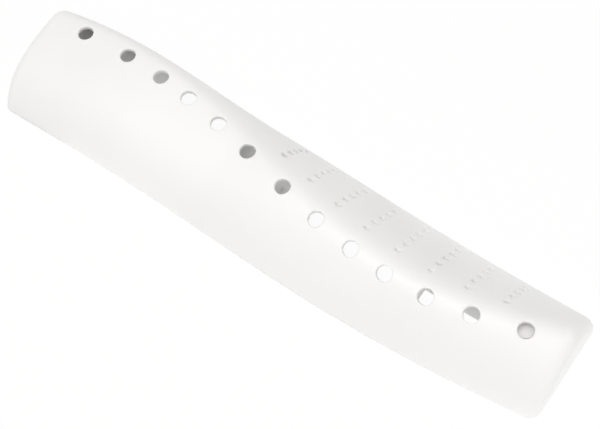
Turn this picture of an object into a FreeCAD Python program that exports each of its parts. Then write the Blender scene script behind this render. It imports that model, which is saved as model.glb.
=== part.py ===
import FreeCAD, Part
import math
import os
import Sketcher
from FreeCAD import Placement, Rotation, Vector

# Drum paddle: one moulded hollow shell, open underneath, with a wavy crest, a line of large
# spray holes along the crest, rows of small holes on one flank, and ribs and screw posts inside.
# X runs along the paddle, Z is up, the origin is the middle of the base. Lengths are in mm.

os.makedirs("parts", exist_ok=True)
doc = FreeCAD.newDocument("drum_paddle")
sheet = doc.addObject("Spreadsheet::Sheet", "Sizes")

SIZES = (
    # plan of the base: straight ends, sides that swell by two sine terms
    ("length", 300),
    ("base_width", 58),
    ("bow_main", 4.6),
    ("bow_swing", 2.4),
    # crest: height, its fall towards the low end, and its wave across the paddle
    ("crest_height", 31.6),
    ("low_end_fall", 3.9),
    ("low_end_share", 0.25),
    ("ridge_shift", 2),
    ("ridge_swing", 16.2),
    ("ridge_peak", 0.12),
    ("ridge_span", 0.625),
    ("ridge_return", 0.53),
    # section: how far in and how far up the flanks turn, as shares of their own run and height
    ("near_flat_in", 0.105),
    ("near_flat_up", 0.74),
    ("near_steep_in", 0.16),
    ("near_steep_up", 0.43),
    ("far_flat_in", 0.39),
    ("far_flat_up", 0.525),
    ("far_steep_in", 0.3),
    ("far_steep_up", 0.7),
    ("crown_half", 5.2),
    ("crown_lift", 1.02),
    ("base_trim", 1),
    # shell
    ("end_round", 6),
    ("wall", 2.4),
    # large spray holes beside the crest, with their places as shares of the length
    ("spray_hole", 7.4),
    ("spray_rim", 0.6),
    ("spray_offset", 2),
    ("spray_offset_more", 2.3),
    ("spray_drop", 2),
    ("spray_lean", 6),
    ("spray_lean_more", 28),
    ("spray_lean_power", 6),
    ("spray_reach", 6),
    ("spray_depth", 11),
    # small drain holes, in rows down the far flank
    ("drain_hole", 3.3),
    ("drain_first", 0.472),
    ("drain_pitch", 0.0588),
    ("drain_top_gap", 12),
    ("drain_top_arc", 0.23),
    ("drain_foot_gap", 7.4),
    ("drain_lean", 42),
    ("drain_level", 32),
    ("drain_depth", 15.5),
    # inside: cross ribs, low webs along the middle, screw posts; places as shares of the length
    ("rib_thick", 2),
    ("rib_foot", 2),
    ("rib_sink", 0.5),
    ("rib_place_1", 0.057),
    ("rib_place_2", 0.143),
    ("rib_place_3", 0.213),
    ("rib_place_4", 0.403),
    ("rib_place_5", 0.488),
    ("rib_place_6", 0.753),
    ("web_place", 0.5405),
    ("web_height", 14.3),
    ("post_foot", 0.5),
    ("post_outer", 12),
    ("post_bore", 5),
    ("post_height_1", 18.3),
    ("post_height_2", 18.3),
    ("post_height_3", 26.2),
    ("post_bore_depth_1", 12.5),
    ("post_bore_depth_2", 14.5),
    ("post_bore_depth_3", 13.5),
    ("post_place_1", 0.1),
    ("post_place_2", 0.447),
    ("post_place_3", 0.923),
    ("post_side", -4),
)
SPRAY_PLACES = (0.077, 0.163, 0.233, 0.293, 0.36, 0.427, 0.507, 0.58, 0.65, 0.713, 0.783, 0.853, 0.93)
STATIONS = 8
RIBS = 6
POSTS = 3
DRAIN_ROWS = 8
DRAIN_IN_ROW = 5

lines = [0]


def put(name, text):
    """One named cell of the sheet."""
    lines[0] += 1
    row = lines[0]
    sheet.set("A%d" % row, name)
    sheet.set("B%d" % row, text)
    sheet.setAlias("B%d" % row, name)


for size_name, size_value in SIZES:
    put(size_name, str(size_value))
for number, place in enumerate(SPRAY_PLACES, 1):
    put("spray_place_%d" % number, str(place))


def station(tag, share):
    """The section's own numbers at a share of the length, as cells that end in the tag."""
    put("share_" + tag, "=" + share)
    at = "share_" + tag
    before = "180 * (%s - ridge_peak) / ridge_span" % at
    after = "180 + 180 * (%s - ridge_peak - ridge_span) / ridge_return" % at
    put("turn_" + tag, "=%s < ridge_peak + ridge_span ? %s : %s" % (at, before, after))
    put("ridge_" + tag, "=ridge_shift + ridge_swing * cos(turn_%s)" % tag)
    put("steep_" + tag, "=0.5 - 0.5 * cos(turn_%s)" % tag)
    fall = "low_end_fall * max(0; 1 - %s / low_end_share) ^ 2" % at
    put("crest_" + tag, "=crest_height - " + fall)
    bow = "bow_main * sin(180 * %s) - bow_swing * sin(360 * %s)"
    other = "(1 - %s)" % at
    put("near_" + tag, "=-(base_width / 2 + %s)" % (bow % (at, at)))
    put("far_" + tag, "=base_width / 2 + %s" % (bow % (other, other)))


for number in range(STATIONS + 1):
    station("section_%d" % number, "%d / %d" % (number, STATIONS))
for number in range(1, len(SPRAY_PLACES) + 1):
    tag = "spray_%d" % number
    station(tag, "spray_place_%d" % number)
    put("lean_" + tag, "=spray_lean + spray_lean_more * steep_%s ^ spray_lean_power" % tag)
    put("across_" + tag, "=ridge_%s - spray_offset - spray_offset_more * cos(turn_%s) ^ 2" % (tag, tag))
    put("level_" + tag, "=crest_%s - spray_drop * steep_%s ^ spray_lean_power" % (tag, tag))
for number in range(DRAIN_ROWS):
    station("drain_%d" % number, "drain_first + drain_pitch * %d" % number)
for number in range(1, RIBS + 1):
    station("rib_%d" % number, "rib_place_%d" % number)
doc.recompute()

body = doc.addObject("PartDesign::Body", "drum_paddle")
body.Label = "drum_paddle"
planes = {item.Role: item for item in body.Origin.OriginFeatures}


def value(text):
    """A sheet expression as a plain number, used as a start value."""
    return float(sheet.evalExpression(text))


def along(share):
    """X of a share of the length."""
    return "Sizes.length * (%s - 0.5)" % share


def new_sketch(name, plane, base, turn=None):
    """A sketch on an origin plane, moved by the texts of base and turned about X by turn."""
    sketch = body.newObject("Sketcher::SketchObject", name)
    sketch.AttachmentSupport = (planes[plane], [""])
    sketch.MapMode = "FlatFace"
    if turn:
        sketch.AttachmentOffset = Placement(Vector(), Rotation(Vector(1, 0, 0), value(turn)))
        sketch.setExpression("AttachmentOffset.Rotation.Angle", turn)
    for axis, text in zip("xyz", base):
        if text:
            sketch.setExpression("AttachmentOffset.Base." + axis, text)
    return sketch


def fix(sketch, kind, geometry, point, text):
    """A driving distance from the sketch's own origin."""
    sketch.addConstraint(Sketcher.Constraint(kind, -1, 1, geometry, point, value(text)))
    sketch.setExpression("Constraints[%d]" % (sketch.ConstraintCount - 1), text)


def circle(sketch, across, up, diameter, like=None):
    """A circle at two texts, with its own diameter or that of an earlier circle."""
    middle = Vector(value(across), value(up) if up else 0, 0)
    item = sketch.addGeometry(Part.Circle(middle, Vector(0, 0, 1), value(diameter) / 2), False)
    fix(sketch, "DistanceX", item, 3, across)
    if up:
        fix(sketch, "DistanceY", item, 3, up)
    else:
        sketch.addConstraint(Sketcher.Constraint("PointOnObject", item, 3, -1))
    if like is None:
        sketch.addConstraint(Sketcher.Constraint("Diameter", item, value(diameter)))
        sketch.setExpression("Constraints[%d]" % (sketch.ConstraintCount - 1), diameter)
    else:
        sketch.addConstraint(Sketcher.Constraint("Equal", like, item))
    return item


def rectangle(sketch, left, right, half):
    """A rectangle from left to right that reaches half to both sides of the X axis."""
    low = -value(half)
    high = value(half)
    start = value(left)
    stop = value(right)
    corners = (Vector(start, low, 0), Vector(stop, low, 0), Vector(stop, high, 0), Vector(start, high, 0))
    sides = []
    for number in range(4):
        side = Part.LineSegment(corners[number], corners[(number + 1) % 4])
        sides.append(sketch.addGeometry(side, False))
    for number in range(4):
        pair = (sides[number], 2, sides[(number + 1) % 4], 1)
        sketch.addConstraint(Sketcher.Constraint("Coincident", *pair))
    for number, kind in enumerate(("Horizontal", "Vertical", "Horizontal", "Vertical")):
        sketch.addConstraint(Sketcher.Constraint(kind, sides[number]))
    fix(sketch, "DistanceX", sides[0], 1, left)
    fix(sketch, "DistanceX", sides[0], 2, right)
    fix(sketch, "DistanceY", sides[0], 1, "-(%s)" % half)
    fix(sketch, "DistanceY", sides[2], 1, half)


def blend(tag, flat, steep):
    return "(Sizes.%s + (Sizes.%s - Sizes.%s) * Sizes.steep_%s)" % (flat, steep, flat, tag)


def section(name, tag, place, inset, foot):
    """Closed section: one spline over the crest and a straight foot line."""
    near = "(Sizes.near_%s + %s)" % (tag, inset)
    far = "(Sizes.far_%s - %s)" % (tag, inset)
    ridge = "Sizes.ridge_" + tag
    crest = "(Sizes.crest_%s - %s)" % (tag, inset)
    near_run = "(%s - %s) * %s" % (ridge, near, blend(tag, "near_flat_in", "near_steep_in"))
    near_rise = "%s * %s" % (crest, blend(tag, "near_flat_up", "near_steep_up"))
    far_run = "(%s - %s) * %s" % (far, ridge, blend(tag, "far_steep_in", "far_flat_in"))
    far_rise = "%s * %s" % (crest, blend(tag, "far_steep_up", "far_flat_up"))
    top = crest + " * Sizes.crown_lift"
    poles = (
        ("%s + %s * %s / (%s)" % (near, near_run, foot, near_rise), foot),
        ("%s + %s" % (near, near_run), near_rise),
        (ridge + " - Sizes.crown_half", top),
        (ridge + " + Sizes.crown_half", top),
        ("%s - %s" % (far, far_run), far_rise),
        ("%s - %s * %s / (%s)" % (far, far_run, foot, far_rise), foot),
    )
    sketch = new_sketch(name, "YZ_Plane", ("", "", place))
    points = [Vector(value(across), value(up), 0) for across, up in poles]
    curve = Part.BSplineCurve()
    curve.buildFromPolesMultsKnots(points, (4, 1, 1, 4), (0, 1, 2, 3), False, 3)
    spline = sketch.addGeometry(curve, False)
    base = sketch.addGeometry(Part.LineSegment(points[-1], points[0]), False)
    handles = []
    for number, point in enumerate(points):
        handle = sketch.addGeometry(Part.Circle(point, Vector(0, 0, 1), 1), True)
        handles.append(handle)
        kind = "InternalAlignment:Sketcher::BSplineControlPoint"
        sketch.addConstraint(Sketcher.Constraint(kind, handle, 3, spline, number))
        if number == 0:
            sketch.addConstraint(Sketcher.Constraint("Weight", handle, 1.0))
        else:
            sketch.addConstraint(Sketcher.Constraint("Equal", handles[0], handle))
    sketch.addConstraint(Sketcher.Constraint("Coincident", base, 1, spline, 2))
    sketch.addConstraint(Sketcher.Constraint("Coincident", base, 2, spline, 1))
    for handle, (across, up) in zip(handles, poles):
        fix(sketch, "DistanceX", handle, 3, across)
        fix(sketch, "DistanceY", handle, 3, up)
    return sketch


def feature(kind, name, sketch, length, upwards=False):
    """A pad or pocket of a sketch with a bound length."""
    item = body.newObject("PartDesign::" + kind, name)
    item.Profile = (sketch, [""])
    item.Length = value(length)
    item.setExpression("Length", length)
    item.Reversed = upwards
    doc.recompute()
    return item


# outer form: one smooth loft through the sections, cut off flat at the base
outer = []
for number in range(STATIONS + 1):
    tag = "section_%d" % number
    place = along("Sizes.share_" + tag)
    outer.append(section("Section_%d" % number, tag, place, "0", "-Sizes.base_trim"))
doc.recompute()
outer.reverse()
form = body.newObject("PartDesign::AdditiveLoft", "Form")
form.Profile = (outer[0], [""])
form.Sections = [(sketch, [""]) for sketch in outer[1:]]
form.Ruled = False
form.Refine = True
doc.recompute()
trim_sketch = new_sketch("Base_plan", "XY_Plane", ("", "", ""))
rectangle(trim_sketch, "-Sizes.length", "Sizes.length", "Sizes.base_width")
trim = feature("Pocket", "Base_cut", trim_sketch, "Sizes.base_trim * 4")


def end_edges(shape):
    """The arched edges where the end walls meet the flanks."""
    half = value("Sizes.length") / 2
    found = []
    for number, edge in enumerate(shape.Edges, 1):
        box = edge.BoundBox
        flat = abs(box.XMax - box.XMin) < 1e-4 and abs(abs(box.XMax) - half) < 1e-3
        if flat and box.ZMax > value("Sizes.crest_height") / 2:
            found.append("Edge%d" % number)
    return found


rounded = body.newObject("PartDesign::Fillet", "End_rounding")
rounded.Base = (trim, end_edges(trim.Shape))
rounded.Radius = value("Sizes.end_round")
rounded.setExpression("Radius", "Sizes.end_round")
doc.recompute()


def base_face(shape):
    """The flat underside."""
    for number, face in enumerate(shape.Faces, 1):
        if face.BoundBox.ZMax < 1e-4:
            return "Face%d" % number


hollow = body.newObject("PartDesign::Thickness", "Hollow")
hollow.Base = (rounded, [base_face(rounded.Shape)])
hollow.Value = value("Sizes.wall")
hollow.setExpression("Value", "Sizes.wall")
hollow.Reversed = True
hollow.Mode = 0
hollow.Join = 0
doc.recompute()

# cross ribs: thin slices of the same section, sunk halfway into the wall
for number in range(1, RIBS + 1):
    tag = "rib_%d" % number
    place = along("Sizes.share_" + tag) + " - Sizes.rib_thick / 2"
    sink = "Sizes.wall * Sizes.rib_sink"
    sketch = section("Rib_section_%d" % number, tag, place, sink, "Sizes.rib_foot")
    doc.recompute()
    feature("Pad", "Rib_%d" % number, sketch, "Sizes.rib_thick")

# low webs along the middle that tie the screw posts to the cross ribs
WEBS = (("rib_place_1", "rib_place_3"), ("rib_place_4", "web_place"), ("rib_place_6", "post_place_3"))
for number, (start, stop) in enumerate(WEBS, 1):
    sketch = new_sketch("Web_plan_%d" % number, "XY_Plane", ("", "", "Sizes.rib_foot"))
    rectangle(sketch, along("Sizes." + start), along("Sizes." + stop), "Sizes.rib_thick / 2")
    doc.recompute()
    feature("Pad", "Web_%d" % number, sketch, "Sizes.web_height")

# screw posts with blind bores, set back a little from the base so that the rim seats first;
# the last one stands to the near side, under its spray hole
for number in range(1, POSTS + 1):
    place = along("Sizes.post_place_%d" % number)
    side = "Sizes.post_side" if number == POSTS else ""
    sketch = new_sketch("Post_plan_%d" % number, "XY_Plane", ("", "", "Sizes.post_foot"))
    circle(sketch, place, side, "Sizes.post_outer")
    doc.recompute()
    feature("Pad", "Post_%d" % number, sketch, "Sizes.post_height_%d - Sizes.post_foot" % number)
    sketch = new_sketch("Bore_plan_%d" % number, "XY_Plane", ("", "", "Sizes.post_foot"))
    circle(sketch, place, side, "Sizes.post_bore")
    doc.recompute()
    feature("Pocket", "Bore_%d" % number, sketch, "Sizes.post_bore_depth_%d" % number, True)

# small drain holes, all square to one leaning plane over the far flank
lean = "Sizes.drain_lean"
level = "Sizes.drain_level"
base = ("", "%s * sin(%s)" % (level, lean), "%s * cos(%s)" % (level, lean))
drain_sketch = new_sketch("Drain_plan", "XY_Plane", base, "-" + lean)
first_drain = None
for number in range(DRAIN_ROWS):
    tag = "drain_%d" % number
    gap = "Sizes.drain_top_gap - Sizes.drain_top_arc * (%d - %d / 2) ^ 2" % (number, DRAIN_ROWS - 1)
    top = "(Sizes.ridge_%s + %s)" % (tag, gap)
    foot = "(Sizes.far_%s - Sizes.drain_foot_gap)" % tag
    back = "Sizes.far_%s * sin(%s) * tan(%s)" % (tag, lean, lean)
    for step in range(DRAIN_IN_ROW):
        across = "(%s + (%s - %s) * %d / %d)" % (top, foot, top, step, DRAIN_IN_ROW - 1)
        up = "%s / cos(%s) - %s" % (across, lean, back)
        drain = circle(drain_sketch, along("Sizes.share_" + tag), up, "Sizes.drain_hole", first_drain)
        first_drain = drain if first_drain is None else first_drain
doc.recompute()
feature("Pocket", "Drain_holes", drain_sketch, "Sizes.drain_depth")

# large spray holes, each square to the wall beside the crest
for number in range(1, len(SPRAY_PLACES) + 1):
    tag = "spray_%d" % number
    lean = "Sizes.lean_" + tag
    base = (
        along("Sizes.share_" + tag),
        "Sizes.across_%s - Sizes.spray_reach * sin(%s)" % (tag, lean),
        "Sizes.level_%s + Sizes.spray_reach * cos(%s)" % (tag, lean),
    )
    sketch = new_sketch("Spray_plan_%d" % number, "XY_Plane", base, lean)
    circle(sketch, "0 * Sizes.length", "", "Sizes.spray_hole")
    doc.recompute()
    spray = feature("Pocket", "Spray_hole_%d" % number, sketch, "Sizes.spray_depth")


def rim_edges(shape):
    """The outer edge of every spray hole: on the hole's own radius, at the outside of the wall."""
    found = []
    radius = value("Sizes.spray_hole") / 2
    for number in range(1, len(SPRAY_PLACES) + 1):
        tag = "Sizes.%s_spray_" + str(number)
        lean = math.radians(value(tag % "lean"))
        axis = Vector(0, -math.sin(lean), math.cos(lean))
        middle = Vector(value(along(tag % "share")), value(tag % "across"), value(tag % "level"))
        around = []
        for count, edge in enumerate(shape.Edges, 1):
            first, last = edge.ParameterRange
            spots = [edge.valueAt(spot) - middle for spot in (first, (first + last) / 2, last)]
            heights = [spot.dot(axis) for spot in spots]
            away = [(spot - axis * height).Length for spot, height in zip(spots, heights)]
            near = max(abs(height) for height in heights) < radius * 2
            if near and max(abs(one - radius) for one in away) < 1e-3 and edge.Length > radius:
                around.append((sum(heights) / 3, "Edge%d" % count))
        top = max(around)[0] if around else 0
        found += [name for height, name in around if height > top - value("Sizes.wall") / 2]
    return found


rims = body.newObject("PartDesign::Fillet", "Spray_rims")
rims.Base = (spray, rim_edges(spray.Shape))
rims.Radius = value("Sizes.spray_rim")
rims.setExpression("Radius", "Sizes.spray_rim")
doc.recompute()

body.Tip = rims
doc.recompute()

# every feature has to be sound, and the whole one solid, before the file is written
for item in doc.Objects:
    if "Invalid" in item.State or "Error" in item.State:
        raise RuntimeError(item.Name + " did not build")
    if item.isDerivedFrom("PartDesign::Feature") and (item.Shape.isNull() or not item.Shape.isValid()):
        raise RuntimeError(item.Name + " has no sound shape")
if len(body.Shape.Solids) != 1:
    raise RuntimeError("the paddle is not one solid")
body.Shape.exportStep("parts/%s.step" % body.Label)
print(body.Label, round(body.Shape.Volume), "cubic mm")
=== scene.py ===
import math

import bpy
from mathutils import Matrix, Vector

# White drum paddle on a pale floor, seen from above its near side and high end.
# Sizes are in metres, apart from the camera's lens and sensor, which are in millimetres.

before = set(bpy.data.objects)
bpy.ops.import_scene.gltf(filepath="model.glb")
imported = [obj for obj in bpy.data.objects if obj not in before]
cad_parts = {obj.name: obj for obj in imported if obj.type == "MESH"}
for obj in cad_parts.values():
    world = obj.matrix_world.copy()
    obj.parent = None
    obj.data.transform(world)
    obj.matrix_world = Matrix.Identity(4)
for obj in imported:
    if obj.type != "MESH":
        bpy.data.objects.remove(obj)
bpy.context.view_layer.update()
scene = bpy.context.scene
scene.view_settings.view_transform = "Standard"

# camera of the photograph: what it looks at, how far away it is and at which angles
LOOK_AT = Vector((0.00649, 0.00143, 0.0))
CAMERA_DISTANCE = 0.6928
CAMERA_HEIGHT_ANGLE = math.radians(58.474)
CAMERA_SIDE_ANGLE = math.radians(34.114)
CAMERA_LENS = 88.36
CAMERA_SENSOR = 36.0
CAMERA_NEAR_LIMIT = 0.01

# plastic: some light spreads inside it, and its colour clouds between two whites
PLASTIC = {
    "IOR": 1.49,
    "Subsurface_Weight": 0.6,
    "Subsurface_Scale": 0.003,
    "Subsurface_Radius": (1.0, 0.95, 0.9),
}
WHITE = (0.885, 0.882, 0.877, 1.0)
WARM_WHITE = (0.868, 0.863, 0.855, 1.0)
CLOUD_NOISE = {"Scale": 22.0, "Detail": 3.0, "Roughness": 0.55}
# flow marks change the gloss, and are drawn out along the length
FLOW_NOISE = {"Scale": 160.0, "Detail": 2.0}
FLOW_STRETCH = (0.12, 1.0, 1.0)
FLOW_ROUGHNESS = {"To_Min": 0.36, "To_Max": 0.46}
GRAIN_NOISE = {"Scale": 1600.0, "Detail": 2.0}
GRAIN_RELIEF = {"Strength": 0.06, "Distance": 0.0002}

# floor: just under the paddle's base, and for the most part white to the camera
FLOOR_SIZE = 8.0
FLOOR_HEIGHT = -0.0002
FLOOR_COLOUR = (0.93, 0.93, 0.93, 1.0)
FLOOR_WHITE_SHARE = 0.9
PURE_WHITE = (1.0, 1.0, 1.0, 1.0)
# its light under the paddle: strengths at places along X, and where it fades out along Y
TABLE_LIGHT = ((-0.128, 0.0), (-0.1, 0.34), (0.02, 0.29), (0.08, 0.41))
TABLE_LIGHT_FADE = (0.022, 0.045)

# lamps: name, place, size, power and colour
LAMP_WARM = (1.0, 0.965, 0.925)
LAMP_WHITE = (1.0, 1.0, 1.0)
LAMPS = (
    ("key", (-0.15, -0.75, 1.7), 1.4, 13.5, LAMP_WARM),
    ("top", (0.0, 0.1, 1.6), 1.6, 4.0, LAMP_WHITE),
    ("side_fill", (1.6, -0.35, 0.45), 1.2, 2.4, LAMP_WHITE),
)
ROOM_LIGHT = 0.605

# colour sockets of a Mix node, by number because its other sockets share their names
MIX_A = 6
MIX_B = 7
MIX_RESULT = 2


class Nodes:
    """Short calls for building a material's node tree."""

    def __init__(self, tree):
        self.tree = tree
        tree.nodes.clear()

    def add(self, kind, **values):
        """A new node. Each value is for a property or else a socket, with _ for a space."""
        node = self.tree.nodes.new(kind)
        for name, value in values.items():
            if hasattr(node, name):
                setattr(node, name, value)
            else:
                node.inputs[name.replace("_", " ")].default_value = value
        return node

    def link(self, source, output, target, socket):
        """Leads an output to a socket, each given by its name or number."""
        self.tree.links.new(source.outputs[output], target.inputs[socket])

    def calculate(self, operation, *operands):
        """A new Math node. Each operand is a number, or a node and its output."""
        node = self.add("ShaderNodeMath", operation=operation)
        for socket, operand in enumerate(operands):
            if isinstance(operand, tuple):
                self.link(*operand, node, socket)
            else:
                node.inputs[socket].default_value = operand
        return node


def new_material(name):
    material = bpy.data.materials.new(name)
    material.use_nodes = True
    return material, Nodes(material.node_tree)


def white_plastic():
    """Satin moulded plastic: faint clouding, flow marks along the length and a fine grain."""
    material, nodes = new_material("white_plastic")
    output = nodes.add("ShaderNodeOutputMaterial")
    shader = nodes.add("ShaderNodeBsdfPrincipled", **PLASTIC)
    nodes.link(shader, "BSDF", output, "Surface")
    place = nodes.add("ShaderNodeTexCoord")

    clouds = nodes.add("ShaderNodeTexNoise", **CLOUD_NOISE)
    nodes.link(place, "Object", clouds, "Vector")
    colour = nodes.add("ShaderNodeMix", data_type="RGBA")
    colour.inputs[MIX_A].default_value = WHITE
    colour.inputs[MIX_B].default_value = WARM_WHITE
    nodes.link(clouds, "Fac", colour, "Factor")
    nodes.link(colour, MIX_RESULT, shader, "Base Color")

    stretch = nodes.add("ShaderNodeMapping", Scale=FLOW_STRETCH)
    nodes.link(place, "Object", stretch, "Vector")
    flow = nodes.add("ShaderNodeTexNoise", **FLOW_NOISE)
    nodes.link(stretch, "Vector", flow, "Vector")
    rough = nodes.add("ShaderNodeMapRange", **FLOW_ROUGHNESS)
    nodes.link(flow, "Fac", rough, "Value")
    nodes.link(rough, "Result", shader, "Roughness")

    grain = nodes.add("ShaderNodeTexNoise", **GRAIN_NOISE)
    nodes.link(place, "Object", grain, "Vector")
    relief = nodes.add("ShaderNodeBump", **GRAIN_RELIEF)
    nodes.link(grain, "Fac", relief, "Height")
    nodes.link(relief, "Normal", shader, "Normal")
    return material


def table_light(nodes):
    """How strongly the floor glows at each place, as a node."""
    place = nodes.add("ShaderNodeTexCoord")
    parts = nodes.add("ShaderNodeSeparateXYZ")
    nodes.link(place, "Object", parts, "Vector")

    start = TABLE_LIGHT[0][0]
    stop = TABLE_LIGHT[-1][0]
    along = nodes.add("ShaderNodeMapRange", From_Min=start, From_Max=stop)
    nodes.link(parts, "X", along, "Value")
    ramp = nodes.add("ShaderNodeValToRGB")
    # a new ramp already has the stops at both ends
    stops = ramp.color_ramp.elements
    for x, _ in TABLE_LIGHT[1:-1]:
        stops.new((x - start) / (stop - start))
    for element, (_, strength) in zip(stops, TABLE_LIGHT):
        element.color = (strength, strength, strength, 1.0)
    nodes.link(along, "Result", ramp, "Fac")

    aside = nodes.calculate("ABSOLUTE", (parts, "Y"))
    inner, outer = TABLE_LIGHT_FADE
    fade = nodes.add("ShaderNodeMapRange", From_Min=inner, From_Max=outer, To_Min=1.0, To_Max=0.0)
    nodes.link(aside, "Value", fade, "Value")
    return nodes.calculate("MULTIPLY", (ramp, "Color"), (fade, "Result"))


def floor_material():
    """Pale, faintly lit floor that is nearly white to the camera and keeps a soft shadow."""
    material, nodes = new_material("pale_floor")
    output = nodes.add("ShaderNodeOutputMaterial")
    matt = nodes.add("ShaderNodeBsdfDiffuse", Color=FLOOR_COLOUR)
    lit = nodes.add("ShaderNodeEmission", Color=PURE_WHITE)
    nodes.link(table_light(nodes), "Value", lit, "Strength")
    top = nodes.add("ShaderNodeAddShader")
    nodes.link(matt, "BSDF", top, 0)
    nodes.link(lit, "Emission", top, 1)

    rays = nodes.add("ShaderNodeLightPath")
    seen = nodes.calculate("MAXIMUM", (rays, "Is Camera Ray"), (rays, "Is Glossy Ray"))
    shown = nodes.calculate("MAXIMUM", (seen, "Value"), (rays, "Is Transmission Ray"))
    share = nodes.calculate("MULTIPLY", (shown, "Value"), FLOOR_WHITE_SHARE)
    glow = nodes.add("ShaderNodeEmission", Color=PURE_WHITE, Strength=1.0)
    mix = nodes.add("ShaderNodeMixShader")
    nodes.link(share, "Value", mix, "Fac")
    nodes.link(top, "Shader", mix, 1)
    nodes.link(glow, "Emission", mix, 2)
    nodes.link(mix, "Shader", output, "Surface")
    return material


def add_floor():
    bpy.ops.mesh.primitive_plane_add(size=FLOOR_SIZE, location=(0.0, 0.0, FLOOR_HEIGHT))
    floor = bpy.context.object
    floor.name = "floor"
    floor.data.materials.append(floor_material())


def add_world():
    world = bpy.data.worlds.new("soft_room")
    scene.world = world
    world.use_nodes = True
    background = world.node_tree.nodes["Background"]
    background.inputs["Color"].default_value = PURE_WHITE
    background.inputs["Strength"].default_value = ROOM_LIGHT


def add_lamp(name, place, size, power, colour):
    """A square soft lamp that faces the paddle."""
    data = bpy.data.lights.new(name, "AREA")
    data.shape = "SQUARE"
    data.size = size
    data.energy = power
    data.color = colour
    lamp = bpy.data.objects.new(name, data)
    lamp.location = place
    lamp.rotation_euler = (-Vector(place)).to_track_quat("-Z", "Y").to_euler()
    scene.collection.objects.link(lamp)


def add_camera():
    flat = math.cos(CAMERA_HEIGHT_ANGLE)
    back = Vector((
        math.sin(CAMERA_SIDE_ANGLE) * flat,
        -math.cos(CAMERA_SIDE_ANGLE) * flat,
        math.sin(CAMERA_HEIGHT_ANGLE),
    ))
    data = bpy.data.cameras.new("camera")
    data.sensor_fit = "HORIZONTAL"
    data.sensor_width = CAMERA_SENSOR
    data.lens = CAMERA_LENS
    data.clip_start = CAMERA_NEAR_LIMIT
    camera = bpy.data.objects.new("camera", data)
    camera.location = LOOK_AT + back * CAMERA_DISTANCE
    camera.rotation_euler = back.to_track_quat("Z", "Y").to_euler()
    scene.collection.objects.link(camera)
    scene.camera = camera


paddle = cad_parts["drum_paddle"]
paddle.data.materials.clear()
paddle.data.materials.append(white_plastic())
add_floor()
add_world()
for lamp_values in LAMPS:
    add_lamp(*lamp_values)
add_camera()
